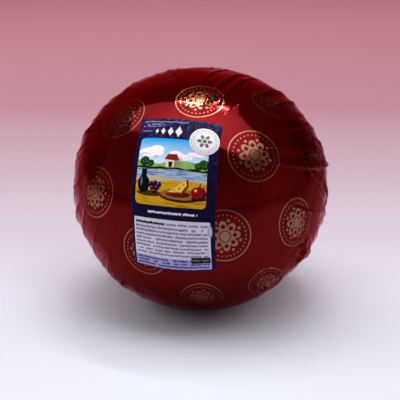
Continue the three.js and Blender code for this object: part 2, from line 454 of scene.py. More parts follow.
SHIFT = part_shift()


def placed(points):
    """Points from the ball's centre, in millimetres, as metres in the part's frame."""
    return (points + SHIFT) * MM


def film_directions():
    """Rings of unit vectors from the middle of the film to its gathered end."""
    fine = np.linspace(0, 180, 2001)
    closeness = np.ones_like(fine)
    for first, last, closer in RING_ZONES:
        into = smooth(fine, first - RING_ZONE_EASE, first)
        closeness += closer * into * (1 - smooth(fine, last, last + RING_ZONE_EASE))
    count = np.cumsum(closeness)
    count = (count - count[0]) / (count[-1] - count[0]) * FILM_RINGS
    out = np.interp(np.arange(1, FILM_RINGS), count, fine) * RAD
    out, turn = np.meshgrid(out, np.linspace(0, TURN, FILM_SECTORS + 1), indexing="ij")
    return out, turn, film_along(out, turn)


def grid_faces(rows, columns, around):
    """Quads of a grid of points, closed round its columns if "around" is set."""
    row = np.arange(rows - 1)[:, None]
    column = np.arange(columns if around else columns - 1)[None, :]
    following = (column + 1) % columns
    corners = [row * columns + column, (row + 1) * columns + column]
    corners += [(row + 1) * columns + following, row * columns + following]
    return np.stack(np.broadcast_arrays(*corners), -1).reshape(-1, 4)


def capped_faces(rings, sectors):
    """Quads between closed rings of points, then a fan to each of two end points."""
    count = rings * sectors
    last = count - sectors
    ring = np.arange(sectors)
    after = np.roll(ring, -1)
    front = np.stack([np.full_like(ring, count), ring, after], -1)
    back = np.stack([np.full_like(ring, count + 1), last + after, last + ring], -1)
    return grid_faces(rings, sectors, True).tolist() + front.tolist() + back.tolist()


def set_cube_map(mesh):
    """For baking: each face goes to the side of a cube round the ball that it looks at."""
    place = (read(mesh.vertices, "co", 3, np.float32) - SHIFT * MM)[corner_vertices(mesh)]
    middle = read(mesh.polygons, "center", 3, np.float32) - SHIFT * MM
    middle = middle.repeat(read(mesh.polygons, "loop_total", 1, np.int32)[:, 0], axis=0)
    corner = np.arange(len(place))
    axis = np.abs(middle).argmax(axis=1)
    positive = middle[corner, axis] > 0
    depth = np.abs(place[corner, axis])
    across, up = (np.arctan2(place[corner, (axis + n) % 3], depth) / (math.pi / 4) for n in (1, 2))
    u = (axis + 0.5 + 0.5 * CUBE_MAP_MARGIN * across) / 3
    v = (positive + 0.5 + 0.5 * CUBE_MAP_MARGIN * up) / 2
    set_uv(mesh, "OFBake", np.stack([u, v], -1))


def film_map(out, turn):
    """For each corner of each face: millimetres on the flat sheet of film."""
    flat_turn = sheet_turn(out, turn)
    flat = SHEET_RADIUS * out[..., None] * swung(flat_turn, *np.eye(2))
    quads = np.stack([flat[:-1, :-1], flat[1:, :-1], flat[1:, 1:], flat[:-1, 1:]], 2)
    front = np.stack([np.zeros((FILM_SECTORS, 2)), flat[0, :-1], flat[0, 1:]], 1)
    middle_turn = (flat_turn[-1, :-1] + flat_turn[-1, 1:]) / 2
    end = SHEET_RADIUS * math.pi * swung(middle_turn, *np.eye(2))
    back = np.stack([end, flat[-1, 1:], flat[-1, :-1]], 1)
    return np.concatenate([part.reshape(-1, 2) for part in (quads, front, back)])


def film_piece():
    out, turn, along = film_directions()
    points = along * (cheese_radius(along) + film_relief(along, out, turn))[..., None]
    ends = on_ball(np.stack([FILM_FRONT, -FILM_FRONT]))
    points = placed(np.concatenate([points[:, :-1].reshape(-1, 3), ends]))
    points[:, 2] = np.maximum(points[:, 2], 0)
    piece = mesh_piece("film_wrap", points, capped_faces(FILM_RINGS - 1, FILM_SECTORS))
    set_uv(piece.data, "film", film_map(out, turn))
    set_cube_map(piece.data)
    return piece


# ---- The label and its seal ----

LABEL_LIFT = 0.16
LABEL_EDGE_LIFT = 0.06
LABEL_EDGE_WIDTH = 1.5
LABEL_UNDER = -0.1  # a little inside the film, so that no gap shows
LABEL_STEPS_ACROSS = 120
LABEL_STEPS_UP = 190
LABEL_CORNER_STEPS = 6
LABEL_BAKE_SHARE = 0.49  # of the bake map's width, for each of its two faces
PRINT_ASIDE = 0.6  # how far the print is off the middle of the label, to its left
SEAL_ACROSS = 14.8
SEAL_UP = 31.0
SEAL_RADIUS = 8.3
SEAL_LIFT = 0.42
SEAL_SECTORS = 96
SEAL_PROFILE = [
    # shares of its radius and of its lift
    *((reach, 1.0) for reach in (0.0, 0.15, 0.3, 0.45, 0.6, 0.75, 0.88)),
    (0.96, 0.98),
    (0.99, 0.9),
    (1.0, 0.7),
    (1.0, -0.4),
]

LABEL_CREASES = [
    # across and up where it starts, across and up where it ends, height
    (-9.5, 45, -7.6, 31, 0.5),
    (-4.6, 45, -3.4, 38, 0.35),
    (-0.5, 45, 0.8, 28, 0.6),
    (4.5, 45, 3.0, 34, 0.45),
    (8.6, 45, 6.5, 22, 0.5),
    (13.5, 45, 14.5, 37, 0.35),
    (-17, 45, -15, 34, 0.4),
    (24, 20, 14, 10, 0.4),
    (24, 8, 17, 3, 0.35),
    (-24, -2, -16, -6, 0.35),
    (-24, 16, -18, 13, 0.3),
    (-24, -24, -16, -28, 0.35),
    (24, -18, 17, -22, 0.35),
    (10, -45, 11.5, -36, 0.35),
    (-6, -45, -7.5, -37, 0.35),
]
LABEL_CREASE_WIDTH = 0.65
LABEL_CREASE_LEAD = 6
LABEL_CREASE_FULL = 0.3  # a crease keeps its height for this share of its length
CRINKLE = 0.22
CRINKLE_LEAST = 0.25
CRINKLE_ZONE = (1.5, 9)  # it fades over this way in from the edge
CRINKLE_BAND = (29, 33)  # and is full again above this
CRINKLE_PITCH = 6.5
CRINKLE_SEED = 21
CRINKLE_SHARPNESS = 1.6


def label_creases(across, up):
    height = np.zeros_like(across)
    for across_a, up_a, across_b, up_b, high in LABEL_CREASES:
        run = np.array([across_b - across_a, up_b - up_a])
        length = np.linalg.norm(run)
        run = run / length
        along_it = (across - across_a) * run[0] + (up - up_a) * run[1]
        beside = (across - across_a) * -run[1] + (up - up_a) * run[0]
        fade = 1 - smooth(along_it, LABEL_CREASE_FULL * length, length)
        fade *= smooth(along_it, -LABEL_CREASE_LEAD, 0)
        height += high * fade * np.exp(-np.abs(beside) / LABEL_CREASE_WIDTH)
    return height


def label_crinkle(along, across, up):
    """Small sharp ridges, high in the top band and at the edges and low over the picture."""
    inward = np.minimum(LABEL_WIDTH / 2 - np.abs(across), LABEL_HEIGHT / 2 - np.abs(up))
    share = np.maximum(CRINKLE_LEAST, 1 - smooth(inward, *CRINKLE_ZONE))
    share = np.maximum(share, smooth(up, *CRINKLE_BAND)) * smooth(inward, 0, 1)
    points = along * WAIST_RADIUS
    return CRINKLE * share * ridges(points, CRINKLE_PITCH, CRINKLE_SEED, CRINKLE_SHARPNESS)


def label_relief(along, across, up):
    """The label's creases and crinkles. It lies flat under the seal."""
    from_seal = np.hypot(across - SEAL_ACROSS, up - SEAL_UP)
    clear = smooth(from_seal, SEAL_RADIUS - 1, SEAL_RADIUS + 1)
    return clear * (label_creases(across, up) + label_crinkle(along, across, up))


def label_piece():
    edge = LABEL_HEIGHT / 2
    straight = edge - LABEL_CORNER_RADIUS
    corner = edge - LABEL_CORNER_RADIUS * (1 - np.sin(np.linspace(90, 10, LABEL_CORNER_STEPS) * RAD))
    rows = np.linspace(-straight, straight, LABEL_STEPS_UP + 1 - 2 * LABEL_CORNER_STEPS)
    up = np.concatenate([-corner, rows, corner[::-1]])
    sweep = np.linspace(-1, 1, LABEL_STEPS_ACROSS + 1)
    up = np.repeat(up[:, None], len(sweep), 1)
    across = label_half_width(up) * sweep
    along = label_along(across, up)
    inward = np.minimum(label_half_width(up) - np.abs(across), edge - np.abs(up))
    lift = LABEL_EDGE_LIFT + (LABEL_LIFT - LABEL_EDGE_LIFT) * smooth(inward, 0, LABEL_EDGE_WIDTH)
    outside = on_ball(along, lift + label_relief(along, across, up))
    inside = on_ball(along, LABEL_UNDER)

    rows, columns = across.shape
    skin = rows * columns
    face = grid_faces(rows, columns, False)
    index = np.arange(skin).reshape(rows, columns)
    rim = np.concatenate([index[0, :-1], index[:-1, -1], index[-1, :0:-1], index[:0:-1, 0]])
    after = np.roll(rim, -1)
    sides = np.stack([rim, after, after + skin, rim + skin], -1)
    faces = np.concatenate([face[:, ::-1], face + skin, sides[:, ::-1]])
    points = placed(np.concatenate([outside.reshape(-1, 3), inside.reshape(-1, 3)]))
    piece = mesh_piece("front_label", points, faces.tolist())

    flat = np.stack([across, up], -1).reshape(-1, 2)
    both = np.concatenate([flat, flat]) + [PRINT_ASIDE, 0]
    corners = corner_vertices(piece.data)
    set_uv(piece.data, "label", both[corners])
    widest = LABEL_WIDTH * (1 + LABEL_TAPER * LABEL_HEIGHT / 2)
    half = (flat / [widest, LABEL_HEIGHT] + 0.5) * [LABEL_BAKE_SHARE, 1]
    halves = np.concatenate([half, half + [1 - LABEL_BAKE_SHARE, 0]])
    set_uv(piece.data, "OFBake", halves[corners])
    return piece


def seal_piece():
    """A round sticker, a little domed and rounded over at its rim."""
    reach, lift = np.array(SEAL_PROFILE).T
    lift = lift * SEAL_LIFT
    turn = np.linspace(0, TURN, SEAL_SECTORS, endpoint=False)
    radius = reach[1:, None] * SEAL_RADIUS
    across = SEAL_ACROSS + radius * np.cos(turn)
    up = SEAL_UP + radius * np.sin(turn)
    rings = on_ball(label_along(across, up), lift[1:, None])
    middle = label_along(np.array([SEAL_ACROSS]), np.array([SEAL_UP]))
    ends = np.concatenate([on_ball(middle, SEAL_LIFT), on_ball(middle, lift[-1])])
    points = placed(np.concatenate([rings.reshape(-1, 3), ends]))
    piece = mesh_piece("round_seal", points, capped_faces(len(rings), SEAL_SECTORS))
    flat = np.stack([across - SEAL_ACROSS, up - SEAL_UP], -1).reshape(-1, 2)
    flat = np.concatenate([flat, np.zeros((2, 2))])
    set_uv(piece.data, "seal", flat[corner_vertices(piece.data)])
    return piece


# ---- Materials ----


def rgb(red, green, blue):
    """A screen colour, 0 to 255, as the linear colour that the shaders take."""
    parts = [c / 255 for c in (red, green, blue)]
    return tuple(c / 12.92 if c <= 0.04045 else ((c + 0.055) / 1.055) ** 2.4 for c in parts) + (1.0,)


class Nodes:
    """Short ways to add nodes to the tree of a material, a lamp or the world."""

    def __init__(self, tree):
        self.tree = tree

    def add(self, kind, inputs=(), **settings):
        node = self.tree.nodes.new("ShaderNode" + kind)
        for name, value in settings.items():
            setattr(node, name, value)
        return self.fill(node, inputs)

    def fill(self, node, inputs):
        """Give a node's inputs, by name or in order, each a value of its own or a link."""
        for key, value in inputs.items() if isinstance(inputs, dict) else enumerate(inputs):
            if isinstance(value, bpy.types.NodeSocket):
                self.tree.links.new(value, node.inputs[key])
            else:
                node.inputs[key].default_value = value
        return node

    def math(self, operation, *values, clamp=False):
        return self.add("Math", values, operation=operation, use_clamp=clamp).outputs[0]

    def minus(self, value, amount):
        return self.math("SUBTRACT", value, amount)

    def times(self, value, factor, plus=0.0, clamp=False):
        return self.math("MULTIPLY_ADD", value, factor, plus, clamp=clamp)

    def off(self, value, middle):
        """How far a value is from a middle one, either way."""
        return self.math("ABSOLUTE", self.minus(value, middle))

    def vector(self, operation, *values):
        node = self.add("VectorMath", values, operation=operation)
        number = operation in ("LENGTH", "DISTANCE", "DOT_PRODUCT")
        return node.outputs["Value" if number else "Vector"]

    def join(self, *values):
        return self.add("CombineXYZ", values).outputs[0]

    def split(self, vector):
        return tuple(self.add("SeparateXYZ", [vector]).outputs)

    def noise(self, point, scale=1.0, detail=2.0, output="Fac"):
        inputs = {"Vector": point, "Scale": scale, "Detail": detail}
        return self.add("TexNoise", inputs).outputs[output]

    def fade(self, value, low, high, start=0.0, end=1.0, kind="SMOOTHSTEP"):
        """From start to end, as the value goes from low to high."""
        inputs = (value, low, high, start, end)
        return self.add("MapRange", inputs, interpolation_type=kind).outputs["Result"]

    def mix(self, share, first, second, kind="RGBA"):
        node = self.add("Mix", data_type=kind)
        self.fill(node, {"Factor": share, "A": first, "B": second})
        return node.outputs["Result"]


class Print(Nodes):
    """Masks and paint on a UV map in millimetres. A mask is 1 inside its shape and 0 outside."""

    def __init__(self, material, uv_map, soft=0.16):
        super().__init__(material.node_tree)
        self.soft = soft
        self.draw_at(self.add("UVMap", uv_map=uv_map).outputs["UV"])

    def draw_at(self, point):
        self.point = point
        self.x, self.y, _ = self.split(point)

    def shake(self, reach, scale):
        """Make the edges of every shape after this uneven, as in a painting."""
        away = self.vector("SUBTRACT", self.noise(self.point, scale, 3.0, "Color"), (0.5, 0.5, 0.5))
        away = self.vector("MULTIPLY", away, (2 * reach, 2 * reach, 0))
        self.draw_at(self.vector("ADD", self.point, away))

    def patches(self, wide, high, share, soft=0.1):
        """Uneven patches about "wide" by "high", more of them for a larger share."""
        grain = self.noise(self.vector("DIVIDE", self.point, (wide, high, 1)), detail=3.0)
        return self.times(grain, 1 / soft, (share / 2 - 0.75) / soft, clamp=True)

    def bump(self, height, strength, distance):
        inputs = {"Strength": strength, "Distance": distance, "Height": height}
        return self.add("Bump", inputs).outputs["Normal"]

    def inside(self, distance, edge, soft=None):
        return self.times(self.minus(edge, distance), 1 / (soft or self.soft), 0.5, clamp=True)

    def band(self, distance, radius, line):
        return self.inside(self.off(distance, radius), line / 2)

    def disc(self, x, y, radius):
        return self.inside(self.vector("DISTANCE", self.point, (x, y, 0)), radius)

    def ellipse(self, x, y, wide, high):
        away = self.vector("SUBTRACT", self.point, (x, y, 0))
        away = self.vector("LENGTH", self.vector("DIVIDE", away, (wide, high, 1)))
        return self.inside(away, 1, self.soft / min(wide, high))

    def box(self, left, low, right, high, corner=0.0):
        half = ((right - left) / 2 - corner, (high - low) / 2 - corner, 0)
        away = self.vector("SUBTRACT", self.point, ((left + right) / 2, (low + high) / 2, 0))
        away = self.vector("SUBTRACT", self.vector("ABSOLUTE", away), half)
        away = self.vector("LENGTH", self.vector("MAXIMUM", away, (0, 0, 0)))
        return self.inside(away, max(corner, self.soft / 2))

    def polygon(self, *corners):
        """A convex shape, its corners anticlockwise."""
        mask = None
        for (x0, y0), (x1, y1) in zip(corners, corners[1:] + corners[:1]):
            length = math.hypot(x1 - x0, y1 - y0)
            normal = ((y1 - y0) / length, (x0 - x1) / length, 0)
            away = self.vector("DOT_PRODUCT", self.point, normal)
            side = self.inside(away, x0 * normal[0] + y0 * normal[1])
            mask = side if mask is None else self.math("MINIMUM", mask, side)
        return mask

    def below(self, level, swell=0.0, pitch=20.0, phase=0.0):
        """Under a line across the print that rises and falls."""
        wave = self.math("SINE", self.times(self.x, TURN / pitch, phase))
        return self.inside(self.y, self.times(wave, swell, level))

    def both(self, *masks):
        return functools.reduce(self.times, masks)

    def either(self, *masks):
        return functools.reduce(lambda *pair: self.math("MAXIMUM", *pair), masks)

    def outside(self, mask):
        return self.minus(1.0, mask)

    def paint(self, under, *layers):
        """Lay colours over what is under them. A layer is a screen colour, or a paint, and its mask."""
        for *over, mask in layers:
            under = self.mix(mask, under, rgb(*over) if len(over) == 3 else over[0])
        return under

    def writing(self, left, low, right, high, pitch, words, seed, share=0.6):
        """Rows of specks in groups, where small print would be. They are no letters."""
        row = self.math("DIVIDE", self.minus(self.y, low), pitch)
        line = self.times(self.math("FLOOR", row), 5.37, seed)
        middle = self.off(self.math("FRACT", row), 0.5)
        speck = self.noise(self.join(self.times(self.x, 1.9), line, self.y), detail=1.0)
        stripe = self.inside(middle, self.times(speck, 0.9, -0.2), 0.1)
        word = self.noise(self.join(self.times(self.x, words), line), detail=0.0)
        word = self.inside(1 - share, word, 0.05)
        return self.both(self.box(left, low, right, high), stripe, word)


def new_material(name):
    material = bpy.data.materials.new(name)
    material.use_nodes = True
    return material, material.node_tree.nodes["Principled BSDF"]


RING_PITCH = 47
RING_LEAN = 9
RING_OFFSET = (20, 12, 0)
RING_RADIUS = 14.3
RING_LINE = 0.65
PETALS = 8
PETAL_REACH = 8.6
PETAL_NOTCH = 0.48  # the notches between the petals are this share of their reach
PETAL_ROUNDNESS = 0.55
PETAL_HOLES = (PETAL_REACH * 0.64, 1.25, 0.5)  # how far out, size and phase
FLOWER_EYE = (PETAL_REACH * 0.36, 0.6)
BEADS = 32
BEAD_CIRCLE = (11.7, 0.42)
PETAL_BEAD_CIRCLE = (8.9, 0.8)
FILM_RED = (0.118, 0.0005, 0.002, 1)
FILM_DEEP = (0.095, 0.0003, 0.0012, 1)
FILM_METAL = 0.76
FILM_COAT = 0.025
COAT_IOR = 2.2
FILM_EDGE_TINT = (0.85, 0.28, 0.4, 1)
PRINT_GOLD = (0.2, 0.09, 0.045, 1)
GOLD_METAL = 1
GOLD_COAT = 0.2
COAT_ROUGHNESS = 0.08
FILM_SPECULAR = 0.03
FILM_ROUGHNESS = 0.05
CLOUD_SCALE = 0.035
CLOUD_ROUGHNESS = 0.08  # added where the film is cloudy
GOLD_ROUGHNESS = 0.12  # added on the gold
STREAK_PITCH = 24
STREAK_STRETCH = 0.03
STREAK_WIDTH = 0.05
STREAK_START = 72
STREAK_EARLY = 34
STREAK_SIDE = 15
STREAK_RUN = 40
STREAK_LEAST = 0.4  # the share of their height on the tight side
PAINTED_SHADE_DEPTH = 0.66  # painted shade: how far the film's upper right side is darkened
PAINTED_SHADE_START = 36
PAINTED_SHADE_RUN = 26
FILM_GRAIN_SCALE = 0.16
FILM_GRAIN = 0.25
FILM_BUMP = (0.6, 0.45 * MM)


def medallions(ink):
    """Rings with an eight-petalled flower, in rows that step by half a pitch."""
    cos, sin = math.cos(RING_LEAN * RAD), math.sin(RING_LEAN * RAD)
    turned = [ink.vector("DOT_PRODUCT", ink.point, axis) for axis in ((cos, sin, 0), (-sin, cos, 0))]
    place = ink.vector("ADD", ink.join(*turned), RING_OFFSET)
    pitch = (RING_PITCH, RING_PITCH * math.sqrt(3), 1)
    here = []
    for step in (0, 0.5):
        cell = ink.vector("ADD", ink.vector("DIVIDE", place, pitch), (step, step, 0))
        cell = ink.vector("SUBTRACT", ink.vector("FRACTION", cell), (0.5, 0.5, 0))
        here.append(ink.vector("MULTIPLY", cell, pitch))
    away = [ink.vector("LENGTH", place) for place in here]
    nearer = ink.math("LESS_THAN", away[1], away[0])
    across, up, _ = ink.split(ink.mix(nearer, *here, kind="VECTOR"))
    reach = ink.math("MINIMUM", *away)
    angle = ink.math("ARCTAN2", up, across)

    def beads(count, radius, size, phase=0.0):
        """Dots round a circle."""
        share = ink.math("FRACT", ink.times(angle, count / TURN, phase))
        beside = ink.times(ink.minus(share, 0.5), TURN * radius / count)
        away = ink.vector("LENGTH", ink.join(beside, ink.minus(reach, radius)))
        return ink.inside(away, size)

    wave = ink.math("ABSOLUTE", ink.math("COSINE", ink.times(angle, PETALS / 2)))
    petal, notch = PETAL_REACH * (1 - PETAL_NOTCH), PETAL_REACH * PETAL_NOTCH
    edge = ink.times(ink.math("POWER", wave, PETAL_ROUNDNESS), petal, notch)
    holes = ink.either(beads(PETALS, *PETAL_HOLES), ink.band(reach, *FLOWER_EYE))
    flower = ink.both(ink.inside(reach, edge), ink.outside(holes))
    dots = (beads(BEADS, *BEAD_CIRCLE), beads(PETALS, *PETAL_BEAD_CIRCLE))
    return ink.either(flower, ink.band(reach, RING_RADIUS, RING_LINE), *dots)


def film_streaks_and_shade(ink):
    """The height of the film's streaks, and a painted shade that darkens the film towards its upper
    right side.
    """
    radius = ink.vector("LENGTH", ink.point)
    angle = ink.math("ARCTAN2", ink.y, ink.x)
    turning = [ink.times(ink.math(wave, angle), STREAK_PITCH) for wave in ("SINE", "COSINE")]
    streaks = ink.noise(ink.join(*turning, ink.times(radius, STREAK_STRETCH)), detail=3.0)
    lines = ink.times(ink.off(streaks, 0.5), -1 / STREAK_WIDTH, 1.0, clamp=True)
    side = ink.math("MAXIMUM", ink.math("COSINE", ink.minus(angle, STREAK_SIDE * RAD)), 0.0)
    start = ink.times(side, -STREAK_EARLY, STREAK_START)
    growing = ink.times(ink.minus(radius, start), 1 / STREAK_RUN, clamp=True)
    growing = ink.both(growing, ink.times(side, 1 - STREAK_LEAST, STREAK_LEAST))
    height = ink.both(ink.times(streaks, 1.5, lines), growing)
    height = ink.times(ink.noise(ink.point, FILM_GRAIN_SCALE), FILM_GRAIN, height)
    # Painted shade: it grows out from the middle of the film, on the side that STREAK_SIDE gives.
    slack = ink.times(ink.minus(radius, PAINTED_SHADE_START), 1 / PAINTED_SHADE_RUN, clamp=True)
    return height, ink.times(ink.both(slack, ink.math("POWER", side, 4)), PAINTED_SHADE_DEPTH)


def film_material():
    material, shader = new_material("printed red film")
    ink = Print(material, "film", soft=0.3)
    gold = medallions(ink)
    cloud = ink.noise(ink.point, CLOUD_SCALE, 3.0)
    height, painted_shade = film_streaks_and_shade(ink)
    red = ink.times(cloud, 2.4, -0.7, clamp=True)
    # The painted shade lays black over the film and takes its coat away there, which darkens that side
    # and dims its reflections.
    tone = ink.paint(FILM_DEEP, (FILM_RED, red), (PRINT_GOLD, gold), ((0.0, 0.0, 0.0, 1), painted_shade))
    rough = ink.times(gold, GOLD_ROUGHNESS, ink.times(cloud, CLOUD_ROUGHNESS, FILM_ROUGHNESS))
    coat = ink.both(ink.times(gold, GOLD_COAT - FILM_COAT, FILM_COAT), ink.outside(painted_shade))
    ink.fill(shader, {
        "Base Color": tone,
        "Metallic": ink.times(gold, GOLD_METAL - FILM_METAL, FILM_METAL),
        "Roughness": rough,
        "Normal": ink.bump(height, *FILM_BUMP),
        "Coat Weight": coat,
        "Coat Roughness": COAT_ROUGHNESS,
        "Coat IOR": COAT_IOR,
        "Specular Tint": FILM_EDGE_TINT,
        "Specular IOR Level": FILM_SPECULAR,
    })
    return material


# ---- The label's print, placed in millimetres from its middle ----

LOZENGE_UP = 35.2
LOZENGE_WIDTH = 0.6
LOZENGES = [(-12, 1.5), (-8.4, 2.1), (-4.2, 2.7), (0.6, 3.3)]  # across, half height
CLOUDS = [
    # across, up, half width, half height
    (-13, 22, 7, 2.8), (-10, 24, 4, 2.2), (3, 20.2, 7, 1.8), (0.5, 21.6, 3.6, 2), (12, 22.4, 5, 1.4),
]
TREES = [(-16, 16.8, 2.6), (-12.6, 15.8, 1.9), (13.6, 16, 2.2), (16.6, 17.2, 2.8)]  # across, up, radius
GRAPES = [(-11.6, 4.6), (-9.2, 5.2), (-7, 4.4), (-10.4, 2.6), (-8, 2.8), (-9.2, 0.8)]  # across, up


def label_print(ink):
    """A navy label with a band at its top, a picture, a line and a pale panel of small print."""
    white = rgb(236, 234, 242)
    lilac = rgb(132, 128, 176)
    top = ink.outside(ink.below(31))
    layers = [
        (11, 7, 32, ink.patches(9, 5, 0.5, 0.3)),
        # Painted sheen: paler violet patches over the top band and the right edge stand in for light
        # caught by the label's crinkles.
        (74, 56, 140, ink.both(ink.patches(2.2, 2.6, 0.52, 0.3), top)),
        (44, 34, 92, ink.both(ink.patches(2.6, 3.4, 0.36, 0.3), ink.box(18.8, 4, 24, 24))),
    ]
    for x, half in LOZENGES:
        side = half * LOZENGE_WIDTH
        corners = ((x - side, 0), (x, -half), (x + side, 0), (x, half))
        layers.append((white, ink.polygon(*((across, LOZENGE_UP + up) for across, up in corners))))
    layers += [
        (lilac, ink.box(-20.5, 41.2, 5, 41.7)),
        (lilac, ink.box(-20.5, 35, -14.6, 35.4)),
        (lilac, ink.writing(-20.5, 37.8, -8, 40.4, 1.3, 0.5, 21)),
        (white, ink.writing(-12.5, -11.2, 13.9, -9.2, 2, 0.42, 3.1, 0.7)),
        (label_panel(ink), ink.box(-20.6, -43, 20.8, -13.8, corner=0.8)),
        (96, 90, 112, ink.ellipse(20.9, -19.2, 1.3, 3.6)),
        (206, 202, 222, ink.ellipse(20.7, -19.2, 0.9, 3.1)),
    ]
    frame_mask = ink.box(-20, -6.6, 18.4, 30.6, corner=2.6)
    ink.shake(0.35, 0.5)
    return ink.paint(rgb(20, 13, 54), *layers, (label_picture(ink), frame_mask))


def label_panel(ink):
    """The pale panel: a heading, small print, a lilac foot and a dark box."""
    return ink.paint(
        rgb(228, 226, 243),
        (176, 172, 218, ink.below(-36.2)),
        (28, 24, 44, ink.writing(-19.6, -17.6, -3.4, -15, 2.6, 0.5, 7, 0.8)),
        (144, 140, 168, ink.writing(-2.6, -17.4, 19.4, -15.2, 2.2, 0.5, 5, 0.6)),
        (142, 138, 166, ink.writing(-19.6, -35.4, 19.4, -17.6, 2.225, 0.4, 0, 0.68)),
        (72, 62, 136, ink.writing(-19.6, -42.4, 19.4, -36.6, 1.93, 0.4, 9, 0.65)),
        (26, 25, 28, ink.box(10.2, -38.6, 20.2, -35)),
        (96, 98, 88, ink.writing(10.8, -38, 19.6, -35.6, 2.4, 0.5, 2)),
    )


def label_picture(ink):
    """A made-up country scene, painted from back to front."""
    height = ink.times(ink.y, 1 / 14, -16 / 14, clamp=True)
    sky = ink.paint(rgb(222, 244, 254), (34, 160, 230, height))
    return ink.paint(sky, *landscape(ink), *still_life(ink))


def landscape(ink):
    """Clouds, hills, trees, a barn, water with its near bank, and the yellow cloth."""
    far = ink.paint(rgb(140, 190, 110), (104, 152, 96, ink.patches(5, 1.2, 0.5)))
    near = ink.paint(rgb(136, 186, 66), (84, 132, 44, ink.patches(4, 0.9, 0.5)))
    water = ink.paint(rgb(164, 190, 216), (92, 124, 164, ink.patches(8, 0.8, 0.5)))
    cloth = ink.paint(rgb(214, 172, 34), (142, 98, 12, ink.patches(12, 1.5, 0.5, 0.2)))
    layers = [(250, 250, 252, ink.ellipse(*cloud)) for cloud in CLOUDS]
    layers += [
        (176, 194, 222, ink.both(ink.patches(7, 2.4, 0.4), ink.below(22))),
        (far, ink.below(17, 1.3, 31, 0.4)),
        (near, ink.below(14.8, 0.9, 22, 2)),
    ]
    for x, y, size in TREES:
        lit = ink.both(ink.disc(x - 0.5, y + 0.6, size * 0.8), ink.patches(1.2, 1, 0.5))
        layers += [(24, 52, 26, ink.disc(x, y, size)), (70, 118, 44, lit)]
    reeds = ink.both(ink.below(14, 0.3, 9), ink.outside(ink.below(12.6, 0.3, 9)))
    return layers + [
        (232, 220, 190, ink.box(-4.2, 14.4, 2.2, 18.4)),
        (150, 132, 110, ink.box(0.4, 14.4, 2.2, 18.4)),
        (132, 34, 28, ink.polygon((-5.2, 18.2), (3.2, 18.2), (1.4, 21.6), (-3.4, 21.6))),
        (44, 28, 24, ink.box(-2.6, 14.4, -0.8, 17.2)),
        (20, 40, 16, reeds),
        (water, ink.below(12.9, 0.3, 26, 1)),
        (206, 192, 150, ink.below(8.2, 0.6, 34, 3)),
        (cloth, ink.below(6.6, 0.9, 40, 0.5)),
    ]


def still_life(ink):
    """On the cloth: a jug, grapes, a board with a wedge of cheese, and an apple."""
    jug = ink.either(ink.ellipse(-15.6, 4.4, 3.4, 4.8), ink.box(-17, 7, -14.2, 12.6))
    layers = [
        (78, 52, 8, ink.ellipse(-12, -0.4, 7.4, 1.5)),
        (16, 14, 22, jug),
        (92, 104, 132, ink.ellipse(-16.9, 5.6, 0.6, 2.4)),
    ]
    for x, y in GRAPES:
        layers.append((46, 14, 48, ink.disc(x, y, 1.5)))
        layers.append((150, 116, 164, ink.disc(x - 0.5, y + 0.6, 0.4)))
    rind = ((-3.4, 0.4), (-2.6, -0.6), (6, 0.2), (9.2, 4.8), (8.6, 8.8), (5, 6.2))
    wedge = ((-2.6, 1), (5.4, 1.4), (8, 5.2), (7.6, 8), (4.8, 6))
    eyes = ink.either(ink.disc(4.2, 3.4, 0.6), ink.disc(1.4, 2.4, 0.45), ink.disc(6.2, 5.4, 0.5))
    shade = ink.both(ink.disc(15.8, 1, 2.6), ink.outside(ink.disc(14.2, 2.2, 3.2)))
    return layers + [
        (66, 34, 12, ink.ellipse(5, -0.8, 11.4, 3.2)),
        (168, 108, 52, ink.ellipse(5, 0.2, 11, 2.8)),
        (74, 34, 14, ink.ellipse(3.6, 0.2, 6.6, 1.6)),
        (146, 16, 24, ink.polygon(*rind)),
        (244, 206, 88, ink.polygon(*wedge)),
        (176, 118, 24, eyes),
        (40, 18, 10, ink.ellipse(14.6, -1.4, 4, 1.2)),
        (140, 12, 22, ink.either(ink.disc(13.6, 1.6, 3.2), ink.disc(15.4, 1.8, 3))),
        (80, 4, 12, shade),
        (240, 170, 150, ink.disc(12.8, 3, 0.8)),
        (42, 26, 14, ink.polygon((14.2, 4.2), (14.8, 4.2), (15.6, 7), (15.1, 7.2))),
    ]


def label_material():
    material, shader = new_material("printed label")
    ink = Print(material, "label")
    grain = ink.noise(ink.point, 0.22, 3.0)
    ink.fill(shader, {
        "Base Color": label_print(ink),
        "Roughness": ink.times(grain, 0.2, 0.24),
        "Normal": ink.bump(grain, 0.35, 0.5 * MM),
        "Specular IOR Level": 0.05,
    })
    return material


def seal_material():
    """A pale seal: two rings with dashes between them, round a six-petalled flower."""
    material, shader = new_material("round seal")
    ink = Print(material, "seal", soft=0.14)
    grey = rgb(128, 130, 138)
    angle = ink.math("ARCTAN2", ink.y, ink.x)
    reach = ink.vector("LENGTH", ink.point)
    wave = ink.math("ABSOLUTE", ink.math("COSINE", ink.times(angle, 3)))
    flower = ink.inside(reach, ink.times(wave, 2.7, 1.5))
    flower = ink.both(flower, ink.outside(ink.band(reach, 1.5, 0.5)))
    share = ink.off(ink.math("FRACT", ink.times(angle, 30 / TURN)), 0.5)
    seal = ink.paint(
        rgb(232, 231, 236),
        (grey, ink.band(reach, 7.3, 0.22)),
        (grey, ink.band(reach, 5.7, 0.18)),
        (84, 86, 94, flower),
        (168, 170, 178, ink.both(ink.inside(share, 0.28, 0.1), ink.band(reach, 6.5, 0.6))),
    )
    rough = ink.times(ink.noise(ink.point, 0.6), 0.15, 0.25)
    ink.fill(shader, {"Base Color": seal, "Roughness": rough})
    return material


# ---- Camera, light and stage ----

